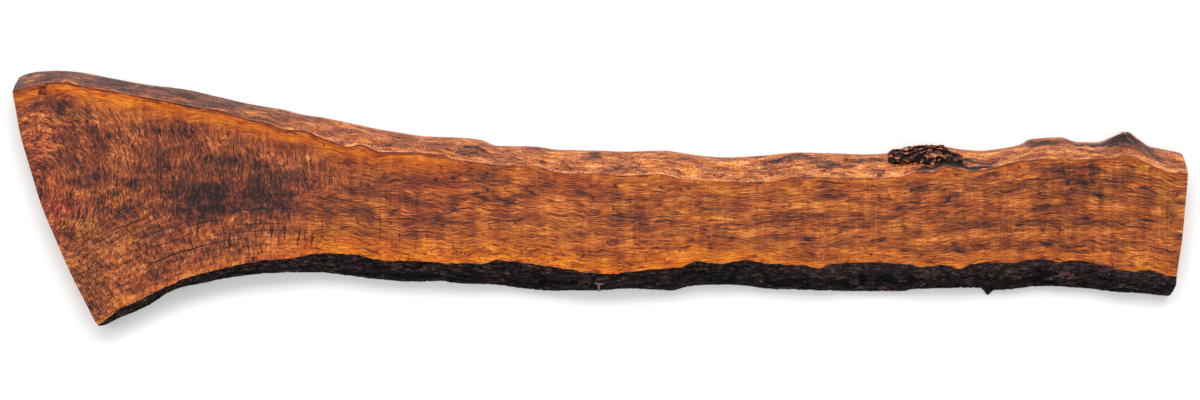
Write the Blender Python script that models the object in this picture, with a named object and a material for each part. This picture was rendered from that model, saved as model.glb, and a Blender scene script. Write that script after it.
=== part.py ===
"""Walnut slab with two natural edges, lying on its wide sawn face.

The slab is sawn from the outer part of a log, with the root flare at its left end, so its underside is
wider than its top and both edges bulge outwards on their way down. The bark is off the +Y edge, except
for one scrap near the right end, and still covers the -Y edge, sawn flush with both faces.

X runs along the slab, Y across it and Z up from the underside. The origin is the middle of the underside.
Lengths are millimetres until a mesh is made, and w is the height as a share of the thickness.
"""
import math

import bmesh
import bpy
import numpy as np

MM = 0.001

THICKNESS = 70.0
MIDDLE = (0.5, 1.1, 0.0)        # of the outline below, which becomes the origin
SEAT_GAP = 0.4          # bark to wood, so that the two solids stay apart
BULGE = 1.6             # how late an edge turns in towards the top face, as the round of the log makes it

BARK_TOP_SHARE = 0.40   # of the strip between the wood's top edge and the outermost bark
BARK_FOOT_SHARE = 0.28
BARK_THINNEST = 2.5
BARK_TOP_MOST = 19.0
BARK_FOOT_MOST = 14.0

STATION_STEP = 12.5     # between cross-sections along the slab
RIM_ROWS = 8            # up the bare edge
SEAT_ROWS = 4           # up the wood under the bark
BARK_ROWS = 6           # up the outside of the bark
END_COLUMNS = 12        # across each sawn end

# Stretches of the slab, along X, that need closer cross-sections: their span and their step.
CLOSE_STRETCHES = [((596.0, 766.0), 5.0), ((1050.0, 1130.0), 8.0), ((794.0, 836.0), 6.0)]

# The sawn ends, as (y, x) from the -Y side to the +Y side.
LEFT_END = [(-268, -1036), (-262, -1043), (-254, -1049), (-236, -1058), (-161, -1096), (-87, -1129),
            (-12, -1160), (63, -1183), (137, -1204), (187, -1213), (222, -1219), (268, -1220)]
RIGHT_END = [(-208, 1194), (-162, 1197), (-132, 1201), (-87, 1208), (-24, 1214), (52, 1220), (105, 1221)]

# Where the top face meets the bare edge, as (x, y).
TOP_ARRIS = [(-1224, 221), (-1183, 231), (-1141, 240), (-1112, 241), (-1079, 234), (-996, 219),
             (-913, 204), (-851, 192), (-789, 182), (-726, 163), (-693, 157), (-660, 144), (-612, 139),
             (-581, 127), (-548, 115), (-523, 107), (-498, 111), (-452, 96), (-415, 96), (-332, 91),
             (-301, 81), (-249, 74), (-212, 69), (-145, 68), (-73, 52), (0, 52), (42, 47), (125, 50),
             (166, 41), (322, 34), (363, 36), (411, 45), (498, 43), (581, 42), (622, 45), (664, 56),
             (689, 55), (718, 67), (743, 61), (772, 56), (809, 62), (872, 77), (934, 82), (996, 81),
             (1058, 84), (1094, 89), (1120, 80), (1158, 63), (1183, 54), (1224, 52)]

# The foot of the bare edge, the outermost line of the slab on that side.
BARE_FOOT = [(-1224, 252), (-1208, 260), (-1182, 266), (-1136, 268), (-1094, 265), (-1031, 253),
             (-947, 238), (-873, 229), (-810, 215), (-726, 196), (-663, 186), (-631, 177), (-579, 169),
             (-494, 151), (-442, 141), (-358, 130), (-305, 128), (-252, 123), (-215, 110), (-147, 109),
             (-84, 102), (0, 100), (53, 98), (130, 100), (189, 93), (257, 86), (337, 89), (417, 96),
             (484, 95), (558, 92), (610, 95), (728, 107), (757, 103), (800, 100), (846, 105), (884, 113),
             (905, 124), (968, 128), (1006, 118), (1046, 118), (1077, 129), (1109, 140), (1128, 128),
             (1157, 109), (1180, 104), (1224, 95)]

# Where the wood meets the bark on the top face.
WOOD_LINE = [(-1040, -263), (-1017, -246), (-996, -230), (-955, -211), (-913, -190), (-872, -172),
             (-830, -156), (-789, -148), (-747, -138), (-706, -130), (-643, -126), (-598, -116),
             (-560, -114), (-515, -117), (-436, -130), (-363, -130), (-301, -135), (-249, -136),
             (-208, -128), (-166, -133), (-114, -140), (-62, -147), (-31, -154), (4, -157), (62, -153),
             (93, -149), (162, -143), (203, -131), (243, -136), (307, -128), (353, -136), (415, -138),
             (452, -144), (498, -134), (571, -133), (633, -136), (674, -143), (706, -137), (747, -146),
             (772, -136), (809, -132), (855, -134), (913, -125), (955, -132), (996, -129), (1042, -138),
             (1096, -151), (1137, -149), (1183, -161), (1200, -162)]

# The outermost line of the bark, at its foot.
BARK_FOOT = [(-1046, -268), (-1010, -251), (-947, -223), (-905, -196), (-879, -186), (-842, -179),
             (-778, -166), (-715, -159), (-631, -155), (-589, -155), (-547, -160), (-463, -170),
             (-379, -175), (-332, -173), (-311, -177), (-210, -182), (-168, -188), (-95, -194), (0, -193),
             (63, -189), (151, -193), (189, -185), (263, -181), (311, -184), (347, -189), (421, -192),
             (568, -195), (638, -195), (663, -190), (789, -188), (842, -193), (894, -187), (926, -184),
             (1010, -188), (1094, -197), (1147, -200), (1200, -207)]

# Hollows in the bare edge where branches and tools have torn it: x, w, half length, half height, depth.
HOLLOWS = [(-262, 0.30, 26, 0.16, 4.0), (-186, 0.45, 24, 0.10, 2.5), (-118, 0.62, 26, 0.09, 2.2),
           (-22, 0.35, 14, 0.12, 2.6), (38, 0.72, 15, 0.10, 2.5), (352, 0.42, 30, 0.10, 2.2),
           (520, 0.52, 44, 0.10, 2.4), (700, 0.74, 20, 0.10, 4.0), (815, 0.78, 18, 0.08, 3.2),
           (936, 0.28, 32, 0.14, 3.6), (1108, 0.42, 12, 0.12, 5.0)]

# The healed knot that stands out of the bare edge: x, w, half length, half height, height.
KNOT = (1090, 0.30, 26, 0.20, 7.0)

# The flake of bark that stands out at the foot of the bark: the same five values.
FLAKE = (815, 0.06, 8, 0.12, 14.0)

# The scrap of bark: where it starts and ends along X, and the band of w that it covers there.
SCRAP_FROM, SCRAP_TO = 600.0, 756.0
SCRAP_LOW = [(596, 0.14), (700, 0.10), (716, 0.16), (732, 0.42), (760, 0.50)]
SCRAP_HIGH = [(596, 0.66), (612, 0.78), (700, 0.80), (760, 0.80)]
SCRAP_THICK = [(596, 8), (606, 14), (640, 15), (690, 14), (716, 11), (740, 7), (762, 4)]
SCRAP_RELIEF = 5.0
OUTWARD = (0.0, 0.80, 0.60)     # the way the bare edge faces, for what is laid on it


def curve(points):
    """Return a smooth function through points in rising order, which never swings past them."""
    at, value = np.array(points, float).T
    step = np.diff(at)
    rise = np.diff(value) / step
    before, after = rise[:-1], rise[1:]
    same_way = before * after > 0
    share = (2 * step[1:] + step[:-1]) / (3 * (step[1:] + step[:-1]))
    slope = np.zeros_like(at)
    slope[0] = rise[0]
    slope[-1] = rise[-1]
    bend = share * after + (1 - share) * before
    slope[1:-1] = np.where(same_way, before * after / np.where(same_way, bend, 1.0), 0.0)

    def read(x):
        x = np.asarray(x, float)
        k = np.clip(np.searchsorted(at, x, side="right") - 1, 0, len(step) - 1)
        t = np.clip((x - at[k]) / step[k], 0.0, 1.0)
        lead = value[k] * (2 * t**3 - 3 * t**2 + 1) + value[k + 1] * (3 * t**2 - 2 * t**3)
        turn = slope[k] * (t**3 - 2 * t**2 + t) + slope[k + 1] * (t**3 - t**2)
        return lead + turn * step[k]

    return read


left_end = curve(LEFT_END)
right_end = curve(RIGHT_END)
top_arris = curve(TOP_ARRIS)
bare_foot = curve(BARE_FOOT)
wood_line = curve(WOOD_LINE)
bark_foot = curve(BARK_FOOT)
scrap_low = curve(SCRAP_LOW)
scrap_high = curve(SCRAP_HIGH)
scrap_thick = curve(SCRAP_THICK)


def noise(x, y, seed):
    """Smooth seeded noise between -1 and 1, with cells one unit wide."""
    x, y = np.broadcast_arrays(np.asarray(x, float), np.asarray(y, float))
    cell_x, cell_y = np.floor(x), np.floor(y)
    fx, fy = x - cell_x, y - cell_y
    fx = fx * fx * (3 - 2 * fx)
    fy = fy * fy * (3 - 2 * fy)

    def corner(dx, dy):
        n = (cell_x.astype(np.int64) + dx) * 374761393 + (cell_y.astype(np.int64) + dy) * 668265263
        n = (n + seed * 974634777) & 0xFFFFFFFF
        n = ((n ^ (n >> 13)) * 1274126177) & 0xFFFFFFFF
        return ((n ^ (n >> 16)) & 0xFFFF) / 32767.5 - 1.0

    low = corner(0, 0) * (1 - fx) + corner(1, 0) * fx
    high = corner(0, 1) * (1 - fx) + corner(1, 1) * fx
    return low * (1 - fy) + high * fy


def mound(x, w, place):
    """A smooth rise of the given height at a place: x, w, half length, half height, height."""
    at_x, at_w, half_x, half_w, height = place
    return height * np.exp(-((x - at_x) / half_x) ** 2 - ((w - at_w) / half_w) ** 2)


def bare_relief(x, w):
    """How far the bare edge stands out of its smooth bulge: waves, long ribs, torn hollows, the knot."""
    waves = 1.7 * noise(x / 46, w * 2.2, 1) + 0.9 * noise(x / 21, w * 4.0, 2)
    ribs = 0.8 * noise(x / 95, w * 9.0, 3)
    hollows = sum(mound(x, w, place) for place in HOLLOWS)
    held = np.sin(math.pi * np.clip(w, 0, 1)) ** 0.6
    return held * (waves + ribs - hollows + mound(x, w, KNOT))


def bark_relief(x, w):
    """Long plates of bark with furrows between them, fading at the two sawn edges."""
    drift = 0.5 * noise(x / 70, w * 1.5, 11)
    furrow = np.abs(noise(x / 62, (w + drift) * 3.6, 12))
    plates = 3.0 * np.clip(furrow / 0.35, 0, 1) - 2.4
    held = np.sin(math.pi * np.clip(w, 0, 1)) ** 0.5
    return held * (plates + 0.9 * noise(x / 17, w * 5.0, 13)) + mound(x, w, FLAKE)


def scrap_relief(x, w):
    """The plates of the scrap: long ridges that run with the grain, with deep furrows."""
    furrow = np.abs(noise(x / 44, w * 5.5 + 0.4 * noise(x / 30, w * 2, 21), 22))
    return SCRAP_RELIEF * (np.clip(furrow / 0.3, 0, 1) - 0.6) + 1.0 * noise(x / 9, w * 11, 23)


def strip_width(x):
    """The strip that the bark takes up, seen from above."""
    return wood_line(x) - bark_foot(x)


def bare_edge(x, w):
    return bare_foot(x) + (top_arris(x) - bare_foot(x)) * w**BULGE + bare_relief(x, w)


def seat_edge(x, w):
    """The wood under the bark."""
    foot = bark_foot(x) + np.clip(BARK_FOOT_SHARE * strip_width(x), BARK_THINNEST, BARK_FOOT_MOST)
    return foot + (wood_line(x) - foot) * w**BULGE


def bark_inside(x, w):
    return seat_edge(x, w) - SEAT_GAP


def bark_outside(x, w):
    top = wood_line(x) - np.clip(BARK_TOP_SHARE * strip_width(x), BARK_THINNEST, BARK_TOP_MOST)
    return bark_foot(x) + (top - bark_foot(x)) * w**BULGE - bark_relief(x, w)


def stations():
    """Shares of the length, from 0 at the left end to 1 at the right, where the slab is drawn."""
    level = 0.5 * (TOP_ARRIS[-1][1] + BARE_FOOT[-1][1])
    start, stop = float(left_end(level)), float(right_end(level))
    places = [start]
    while places[-1] < stop - STATION_STEP:
        step = STATION_STEP
        for (low, high), close_step in CLOSE_STRETCHES:
            if low - STATION_STEP < places[-1] < high:
                step = close_step
        places.append(places[-1] + step)
    places.append(stop)
    return (np.array(places) - start) / (stop - start)


def on_edge(edge, share, w):
    """Follow an edge at height w to the station, which leans as the two sawn ends do."""
    y = np.zeros(np.broadcast(share, w).shape)
    x = y
    for _ in range(40):
        x = (1 - share) * left_end(y) + share * right_end(y)
        y = 0.5 * (y + edge(x, w))
    return np.stack([x, y, THICKNESS * w + 0 * x], axis=-1)


def edge_grid(edge, rows):
    """Points of an edge, as [station][row], with the rows from the underside up."""
    return on_edge(edge, stations()[:, None], np.linspace(0, 1, rows + 1)[None, :])


def end_points(end, y_from, y_to, z):
    """Points along a sawn end, between two corners that are left out."""
    y = np.linspace(y_from, y_to, END_COLUMNS + 1)[1:-1]
    return np.stack([end(y), y, z + 0 * y], axis=-1)


class Solid:
    """A closed mesh, drawn in millimetres."""

    def __init__(self, name, material):
        self.name = name
        self.material = material
        self.mesh = bmesh.new()

    def points(self, grid):
        """Add an array of points and return their vertices in the same layout."""
        flat = [self.mesh.verts.new(p) for p in (grid.reshape(-1, 3) - MIDDLE) * MM]
        layout = np.empty(len(flat), object)
        layout[:] = flat
        return layout.reshape(grid.shape[:-1])

    def face(self, corners):
        self.mesh.faces.new(corners)

    def cell(self, a, b, c, d):
        """Two triangles, split from a to c, so that surfaces laid face to face are split alike."""
        self.face([a, b, c])
        self.face([a, c, d])

    def sheet(self, grid):
        for i in range(grid.shape[0] - 1):
            for j in range(grid.shape[1] - 1):
                self.cell(grid[i, j], grid[i + 1, j], grid[i + 1, j + 1], grid[i, j + 1])

    def finish(self):
        bmesh.ops.recalc_face_normals(self.mesh, faces=self.mesh.faces)
        data = bpy.data.meshes.new(self.name)
        self.mesh.to_mesh(data)
        self.mesh.free()
        data.materials.append(self.material)
        item = bpy.data.objects.new(self.name, data)
        bpy.context.scene.collection.objects.link(item)
        return item


def flat_face(solid, bare, seat, left, right):
    """One sawn face: a strip between each two stations, and the rounded pieces at the ends."""
    last = len(bare) - 1
    solid.face([bare[0], bare[1], seat[1], seat[0], *left])
    for i in range(1, last - 1):
        solid.face([bare[i], bare[i + 1], seat[i + 1], seat[i]])
    solid.face([bare[last - 1], bare[last], *right[::-1], seat[last], seat[last - 1]])


def sawn_end(solid, seat, bare, low, high):
    """One end: upright strips from the -Y side to the +Y side, closed along both edges."""
    solid.face([*seat, high[0], low[0]])
    for k in range(len(low) - 1):
        solid.face([low[k], low[k + 1], high[k + 1], high[k]])
    solid.face([*bare, high[-1], low[-1]])


def make_slab(material):
    solid = Solid("slab", material)
    bare = solid.points(edge_grid(bare_edge, RIM_ROWS))
    seat = solid.points(edge_grid(seat_edge, SEAT_ROWS))
    solid.sheet(bare)
    solid.sheet(seat)
    ends = []
    for end, station in ((left_end, 0), (right_end, -1)):
        rows = []
        for z, row in ((0.0, 0), (THICKNESS, -1)):
            y_from = seat[station, row].co.y / MM + MIDDLE[1]
            y_to = bare[station, row].co.y / MM + MIDDLE[1]
            rows.append(solid.points(end_points(end, y_from, y_to, z)))
        sawn_end(solid, seat[station], bare[station], rows[0], rows[1])
        ends.append(rows)
    for row, level in ((0, 0), (-1, 1)):
        flat_face(solid, bare[:, row], seat[:, row], list(ends[0][level]), list(ends[1][level]))
    return solid.finish()


def make_bark_edge(material):
    solid = Solid("bark_edge", material)
    inside = solid.points(edge_grid(bark_inside, SEAT_ROWS))
    outside = solid.points(edge_grid(bark_outside, BARK_ROWS))
    solid.sheet(inside)
    solid.sheet(outside)
    for row in (0, -1):
        solid.sheet(np.stack([inside[:, row], outside[:, row]], axis=1))
    for station in (0, -1):
        solid.face([*inside[station], *outside[station][::-1]])
    return solid.finish()


def make_bark_scrap(material):
    """The scrap covers whole cells of the bare edge, so it lies on it at an even gap."""
    grid = edge_grid(bare_edge, RIM_ROWS)
    x = grid[:, :, 0]
    w = grid[:, :, 2] / THICKNESS
    middle_x = 0.25 * (x[:-1, :-1] + x[1:, :-1] + x[:-1, 1:] + x[1:, 1:])
    middle_w = 0.5 * (w[:-1, :-1] + w[:-1, 1:])
    covered = (middle_x > SCRAP_FROM) & (middle_x < SCRAP_TO)
    covered &= (middle_w > scrap_low(middle_x)) & (middle_w < scrap_high(middle_x))

    way = np.array(OUTWARD)
    thick = np.maximum(scrap_thick(x) + scrap_relief(x, w), 0.35 * scrap_thick(x))
    under = grid + SEAT_GAP * way
    over = under + thick[:, :, None] * way

    solid = Solid("bark_scrap", material)
    used = np.zeros(x.shape, bool)
    for di in (0, 1):
        for dj in (0, 1):
            used[di:di + covered.shape[0], dj:dj + covered.shape[1]] |= covered
    low = np.empty(x.shape, object)
    high = np.empty(x.shape, object)
    low[used] = solid.points(under[used])
    high[used] = solid.points(over[used])

    def is_covered(i, j):
        inside = 0 <= i < covered.shape[0] and 0 <= j < covered.shape[1]
        return inside and covered[i, j]

    for i, j in zip(*np.nonzero(covered)):
        corners = [(i, j), (i + 1, j), (i + 1, j + 1), (i, j + 1)]
        for layer in (low, high):
            solid.cell(*[layer[c] for c in corners])
        sides = [(i, j - 1), (i + 1, j), (i, j + 1), (i - 1, j)]
        for k, beyond in enumerate(sides):
            if not is_covered(*beyond):
                a, b = corners[k], corners[(k + 1) % 4]
                solid.face([low[a], low[b], high[b], high[a]])
    return solid.finish()


def linear(red, green, blue):
    """Turn a colour as seen, 0 to 255, into the linear colour that a material takes."""
    shares = [c / 255 for c in (red, green, blue)]
    return [c / 12.92 if c <= 0.04045 else ((c + 0.055) / 1.055) ** 2.4 for c in shares] + [1.0]


def make_material(name, colour, roughness):
    material = bpy.data.materials.new(name)
    material.use_nodes = True
    shader = material.node_tree.nodes["Principled BSDF"]
    shader.inputs["Base Color"].default_value = linear(*colour)
    shader.inputs["Roughness"].default_value = roughness
    shader.inputs["Metallic"].default_value = 0.0
    material.diffuse_color = linear(*colour)
    return material


def main():
    for item in list(bpy.data.objects):
        bpy.data.objects.remove(item)
    make_slab(make_material("walnut", (160, 89, 47), 0.35))
    make_bark_edge(make_material("bark", (46, 34, 30), 0.8))
    make_bark_scrap(make_material("scrap_bark", (88, 58, 48), 0.7))


main()
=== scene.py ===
"""The looks of the walnut slab: its finished surfaces, a pale floor, soft light and the camera.

Lengths are millimetres until a mesh is made, in the frame's own axes: X along the slab, Y across it,
Z up from the underside. w is the height as a share of the thickness.
"""

import math

import bmesh
import bpy
import numpy as np
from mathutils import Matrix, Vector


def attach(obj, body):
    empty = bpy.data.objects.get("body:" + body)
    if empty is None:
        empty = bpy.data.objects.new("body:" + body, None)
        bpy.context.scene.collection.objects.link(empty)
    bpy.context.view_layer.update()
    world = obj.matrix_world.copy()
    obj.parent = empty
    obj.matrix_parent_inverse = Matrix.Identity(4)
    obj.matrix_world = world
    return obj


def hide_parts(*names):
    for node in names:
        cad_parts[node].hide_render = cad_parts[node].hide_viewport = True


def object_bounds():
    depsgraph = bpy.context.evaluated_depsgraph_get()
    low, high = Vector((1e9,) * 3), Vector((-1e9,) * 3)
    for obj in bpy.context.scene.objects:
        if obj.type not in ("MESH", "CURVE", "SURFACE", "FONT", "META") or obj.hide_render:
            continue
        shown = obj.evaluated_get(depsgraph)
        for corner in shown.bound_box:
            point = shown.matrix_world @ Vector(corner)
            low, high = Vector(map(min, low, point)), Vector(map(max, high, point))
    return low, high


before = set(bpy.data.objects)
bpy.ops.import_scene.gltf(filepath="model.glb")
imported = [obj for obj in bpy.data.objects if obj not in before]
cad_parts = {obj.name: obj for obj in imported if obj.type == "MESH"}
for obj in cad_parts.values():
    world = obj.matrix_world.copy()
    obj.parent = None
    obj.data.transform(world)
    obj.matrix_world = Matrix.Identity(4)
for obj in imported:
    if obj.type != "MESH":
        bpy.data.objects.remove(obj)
cad_box = [list(corner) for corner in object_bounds()]

MM = 0.001

THICKNESS = 70.0
MIDDLE = (0.5, 1.1, 0.0)
BULGE = 1.6

BARK_TOP_SHARE = 0.40
BARK_FOOT_SHARE = 0.28
BARK_THINNEST = 2.5
BARK_TOP_MOST = 19.0
BARK_FOOT_MOST = 14.0
BARK_WORN = 2.2         # how far the bark's top corner is worn down, on average
SEAT_GAP = 0.3          # between the wood and the bark along its near edge

# The sawn ends, as (y, x).
LEFT_END = [
    (-268, -1036), (-262, -1043), (-254, -1049), (-236, -1058), (-161, -1096), (-87, -1129), (-12, -1160),
    (63, -1183), (137, -1204), (187, -1213), (222, -1219), (268, -1220)]
RIGHT_END = [(-208, 1194), (-162, 1197), (-132, 1201), (-87, 1208), (-24, 1214), (52, 1220), (105, 1221)]

# Where the top face meets the bare edge, as (x, y).
TOP_ARRIS = [
    (-1224, 221), (-1183, 231), (-1141, 240), (-1112, 241), (-1079, 234), (-996, 219), (-913, 204),
    (-851, 192), (-789, 182), (-726, 163), (-693, 157), (-660, 144), (-612, 139), (-581, 127),
    (-548, 115), (-523, 107), (-498, 111), (-452, 96), (-415, 96), (-332, 91), (-301, 81), (-249, 74),
    (-212, 69), (-145, 68), (-73, 52), (0, 52), (42, 47), (125, 50), (166, 41), (322, 34), (363, 36),
    (411, 45), (498, 43), (581, 42), (622, 45), (664, 56), (689, 55), (718, 67), (743, 61), (772, 56),
    (809, 62), (872, 77), (934, 82), (996, 81), (1058, 84), (1094, 89), (1120, 80), (1158, 63),
    (1183, 54), (1224, 52)]

# The foot of the bare edge.
BARE_FOOT = [
    (-1224, 252), (-1208, 260), (-1182, 266), (-1136, 268), (-1094, 265), (-1031, 253), (-947, 238),
    (-873, 229), (-810, 215), (-726, 196), (-663, 186), (-631, 177), (-579, 169), (-494, 151),
    (-442, 141), (-358, 130), (-305, 128), (-252, 123), (-215, 110), (-147, 109), (-84, 102), (0, 100),
    (53, 98), (130, 100), (189, 93), (257, 86), (337, 89), (417, 96), (484, 95), (558, 92), (610, 95),
    (728, 107), (757, 103), (800, 100), (846, 105), (884, 113), (905, 124), (968, 128), (1006, 118),
    (1046, 118), (1077, 129), (1109, 140), (1128, 128), (1157, 109), (1180, 104), (1224, 95)]

# Where the wood meets the bark on the top face.
WOOD_LINE = [
    (-1040, -263), (-1017, -246), (-996, -230), (-955, -211), (-913, -190), (-872, -172), (-830, -156),
    (-789, -148), (-747, -138), (-706, -130), (-643, -126), (-598, -116), (-560, -114), (-515, -117),
    (-436, -130), (-363, -130), (-301, -135), (-249, -136), (-208, -128), (-166, -133), (-114, -140),
    (-62, -147), (-31, -154), (4, -157), (62, -153), (93, -149), (162, -143), (203, -131), (243, -136),
    (307, -128), (353, -136), (415, -138), (452, -144), (498, -134), (571, -133), (633, -136),
    (674, -143), (706, -137), (747, -146), (772, -136), (809, -132), (855, -134), (913, -125),
    (955, -132), (996, -129), (1042, -138), (1096, -151), (1137, -149), (1183, -161), (1200, -162)]

# The outermost line of the bark.
BARK_FOOT = [
    (-1046, -268), (-1010, -251), (-947, -223), (-905, -196), (-879, -186), (-842, -179), (-778, -166),
    (-715, -159), (-631, -155), (-589, -155), (-547, -160), (-463, -170), (-379, -175), (-332, -173),
    (-311, -177), (-210, -182), (-168, -188), (-95, -194), (0, -193), (63, -189), (151, -193),
    (189, -185), (263, -181), (311, -184), (347, -189), (421, -192), (568, -195), (638, -195),
    (663, -190), (789, -188), (842, -193), (894, -187), (926, -184), (1010, -188), (1094, -197),
    (1147, -200), (1200, -207)]

# Hollows in the bare edge: x, w, half length, half height, depth.
HOLLOWS = [
    (-262, 0.30, 26, 0.16, 4.0), (-186, 0.45, 24, 0.10, 2.5), (-118, 0.62, 26, 0.09, 2.2),
    (-22, 0.35, 14, 0.12, 2.6), (38, 0.72, 15, 0.10, 2.5), (352, 0.42, 30, 0.10, 2.2),
    (520, 0.52, 44, 0.10, 2.4), (700, 0.74, 20, 0.10, 4.0), (815, 0.78, 18, 0.08, 3.2),
    (936, 0.28, 32, 0.14, 3.6), (1108, 0.42, 12, 0.12, 5.0)]
KNOT = (1090, 0.30, 26, 0.20, 7.0)
KNOT_HOLE = (1106, 0.34, 6, 0.07, 8.0)
# Painted shade in the knot's hole.
KNOT_HOLE_DARK = (1106, 0.36, 7, 0.06, 0.5)     # its last number is a shade
KNOT_SPLINTER = (1092, 0.16, 20, 0.36, 0.07)    # x and w of its foot, its run, its climb, half height
FLAKE = (815, 0.06, 8, 0.12, 14.0)
SPLINTER_OUT = 2.6

SCRAP_LOW = [(596, 0.14), (700, 0.10), (716, 0.16), (732, 0.42), (760, 0.50)]
SCRAP_HIGH = [(596, 0.54), (612, 0.64), (655, 0.74), (700, 0.83), (760, 0.82)]
SCRAP_THICK = [(596, 8), (606, 14), (640, 15), (690, 14), (716, 11), (740, 7), (762, 4)]
SCRAP_RELIEF = 5.0
SCRAP_ENDS = (603, 760)
SCRAP_ROUND = 9.0       # how far in from its outline the scrap gets its whole thickness
SCRAP_SUNK = 0.6
SCRAP_TRIM = 0.4        # its mesh begins this far inside its outline
OUTWARD = (0.0, 0.80, 0.60)

# The finished meshes.
SLAB_STATIONS = 600
FACE_COLUMNS = 60
UNDER_COLUMNS = 12
EDGE_ROWS = 36
ARRIS = 1.3             # width of the worn corner round the top face
ARRIS_DROP = 0.6
BARK_STATIONS = 1220
BARK_ROWS = 46
BARK_TOP_ROWS = 6
SCRAP_COLUMNS = np.linspace(590, 768, 300)      # x
SCRAP_ROWS = np.linspace(0.06, 0.90, 120)       # w
LEAN_ROUNDS = 18        # enough for a station's lean to settle
RIM_ARC = 84.0          # up the round of either edge
GRAIN_SPAN = 260.0      # the slab's width as the grain inside counts it
GRAIN_WINDOW = 241      # the grain inside follows the edges' run averaged over this length
ALONG = np.arange(-1400, 1401)      # every whole x, past both ends


def curve(points):
    """Return a smooth function through points in rising order, which never swings past them."""
    at, value = np.array(points, float).T
    step = np.diff(at)
    climb = np.diff(value) / step
    before, after = climb[:-1], climb[1:]
    same_way = before * after > 0
    share = (2 * step[1:] + step[:-1]) / (3 * (step[1:] + step[:-1]))
    slope = np.zeros_like(at)
    slope[0] = climb[0]
    slope[-1] = climb[-1]
    bend = share * after + (1 - share) * before
    slope[1:-1] = np.where(same_way, before * after / np.where(same_way, bend, 1.0), 0.0)

    def read(x):
        x = np.asarray(x, float)
        k = np.clip(np.searchsorted(at, x, side="right") - 1, 0, len(step) - 1)
        t = np.clip((x - at[k]) / step[k], 0.0, 1.0)
        lead = value[k] * (2 * t**3 - 3 * t**2 + 1) + value[k + 1] * (3 * t**2 - 2 * t**3)
        turn = slope[k] * (t**3 - 2 * t**2 + t) + slope[k + 1] * (t**3 - t**2)
        return lead + turn * step[k]

    return read


left_end = curve(LEFT_END)
right_end = curve(RIGHT_END)
top_arris = curve(TOP_ARRIS)
bare_foot = curve(BARE_FOOT)
wood_line = curve(WOOD_LINE)
bark_foot = curve(BARK_FOOT)
scrap_low = curve(SCRAP_LOW)
scrap_high = curve(SCRAP_HIGH)
scrap_thick = curve(SCRAP_THICK)


def noise(x, y, seed):
    """Smooth seeded noise between -1 and 1, with cells one unit wide."""
    x, y = np.broadcast_arrays(np.asarray(x, float), np.asarray(y, float))
    cell_x, cell_y = np.floor(x), np.floor(y)
    fx, fy = x - cell_x, y - cell_y
    fx = fx * fx * (3 - 2 * fx)
    fy = fy * fy * (3 - 2 * fy)

    def corner(dx, dy):
        n = (cell_x.astype(np.int64) + dx) * 374761393 + (cell_y.astype(np.int64) + dy) * 668265263
        n = (n + seed * 974634777) & 0xFFFFFFFF
        n = ((n ^ (n >> 13)) * 1274126177) & 0xFFFFFFFF
        return ((n ^ (n >> 16)) & 0xFFFF) / 32767.5 - 1.0

    low = corner(0, 0) * (1 - fx) + corner(1, 0) * fx
    high = corner(0, 1) * (1 - fx) + corner(1, 1) * fx
    return low * (1 - fy) + high * fy


def rise(x, low, high):
    """0 below low, 1 above high, smooth between; low may be the larger of the two."""
    t = np.clip((x - low) / (high - low), 0, 1)
    return t * t * (3 - 2 * t)


def mound(x, w, place):
    at_x, at_w, half_x, half_w, height = place
    return height * np.exp(-((x - at_x) / half_x) ** 2 - ((w - at_w) / half_w) ** 2)


def bare_relief(x, w):
    waves = 1.7 * noise(x / 46, w * 2.2, 1) + 0.9 * noise(x / 21, w * 4.0, 2)
    ribs = 0.8 * noise(x / 95, w * 9.0, 3)
    hollows = sum(mound(x, w, place) for place in HOLLOWS)
    held = np.sin(math.pi * np.clip(w, 0, 1)) ** 0.6
    return held * (waves + ribs - hollows + mound(x, w, KNOT) + torn_fibres(x, w))


def torn_fibres(x, w):
    """Fine ribs and tears along the bare edge, and the splinter and hole of its knot."""
    drift = 0.35 * noise(x / 60, w * 2.5, 6)
    tears = np.abs(noise(x / 42, (w + drift) * 6.5, 4))
    fine = 0.6 * noise(x / 12, w * 13, 5) - 1.5 * rise(tears, 0.16, 0.0)
    return fine + 5.0 * knot_splinter(x, w) - mound(x, w, KNOT_HOLE)


def knot_splinter(x, w):
    at_x, at_w, run, climb, half_w = KNOT_SPLINTER
    along = (x - at_x) / run
    return np.exp(-((w - at_w - climb * along) / half_w) ** 2) * rise(np.abs(along - 0.5), 0.62, 0.4)


def bark_relief(x, w):
    drift = 0.5 * noise(x / 70, w * 1.5, 11)
    furrow = np.abs(noise(x / 52, (w + drift) * 4.4, 12))
    plates = 3.8 * np.clip(furrow / 0.3, 0, 1) - 3.0
    held = np.sin(math.pi * np.clip(w, 0, 1)) ** 0.5
    return held * (plates + 0.9 * noise(x / 17, w * 5.0, 13)) + mound(x, w, FLAKE)


def fine_bark(x, w):
    """Plates split across and along, with scales on them."""
    drift = noise(x / 25, w * 4, 14)
    cracks = np.abs(noise(x / 15, w * 7 + drift, 15))
    scales = np.abs(noise(x / 30 + 0.4 * drift, w * 13, 16))
    held = 0.45 + 0.55 * np.sin(math.pi * np.clip(w, 0, 1)) ** 0.3
    return held * (2.2 * rise(cracks, 0.0, 0.2) + 2.0 * rise(scales, 0.0, 0.22) - 3.4
                   + 0.8 * noise(x / 5, w * 20, 17)) + splinter(x, w)


def splinter(x, w):
    """A loose upright splinter of bark, with a short piece across its top."""
    stem = rise(np.abs(x + 2.5), 3.2, 1.6) * rise(w, 0.02, 0.08) * rise(w, 0.9, 0.84)
    bar = rise(np.abs(x + 1.0), 11.0, 8.5) * rise(np.abs(w - 0.88), 0.045, 0.028)
    return SPLINTER_OUT * np.maximum(stem, bar)


def scrap_relief(x, w):
    furrow = np.abs(noise(x / 44, w * 5.5 + 0.4 * noise(x / 30, w * 2, 21), 22))
    return SCRAP_RELIEF * (np.clip(furrow / 0.3, 0, 1) - 0.6)


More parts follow.
